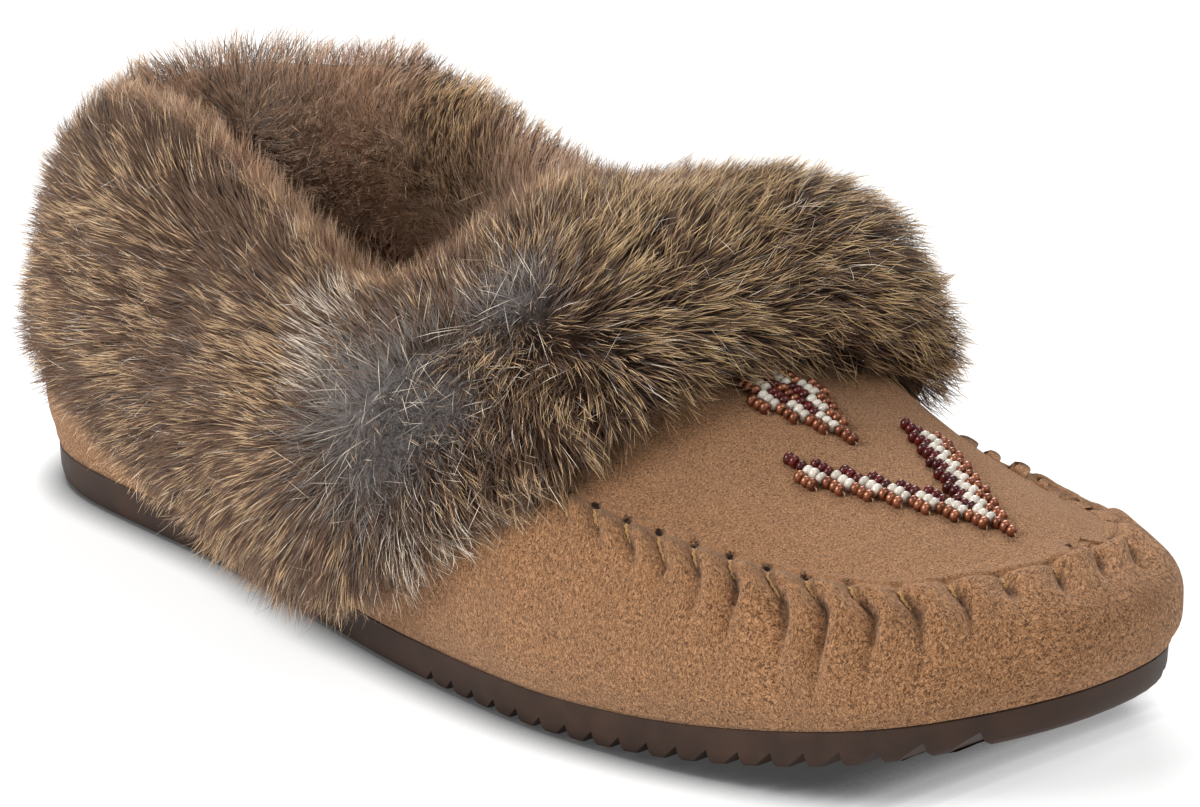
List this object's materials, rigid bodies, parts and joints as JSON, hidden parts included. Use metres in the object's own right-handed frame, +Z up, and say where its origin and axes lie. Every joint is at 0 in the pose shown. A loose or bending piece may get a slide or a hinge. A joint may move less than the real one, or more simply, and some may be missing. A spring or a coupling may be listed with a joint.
{
  "type": "moccasin slipper",
  "caption": "Low moccasin slipper for a right foot: hollow suede upper with a gathered toe seam, folded fur cuff round the collar, footbed and lugged rubber sole.",
  "frame": {"origin": "on the floor under the middle of the sole's length and of the shoe's width", "axes": "+Z up from the floor, -Y towards the toe, +Y towards the heel, -X towards the outer (lateral) side of the right foot"},
  "size_m": [0.1168, 0.2617, 0.0837],
  "materials": {
    "rubber": "matte moulded",
    "footbed": "brushed pile",
    "suede": "napped suede",
    "fur": "long banded fur"
  },
  "bodies": {
    "root": {"outsole": "rubber", "insole": "footbed", "upper": "suede", "fur_cuff": "fur"}
  },
  "joints": []
}
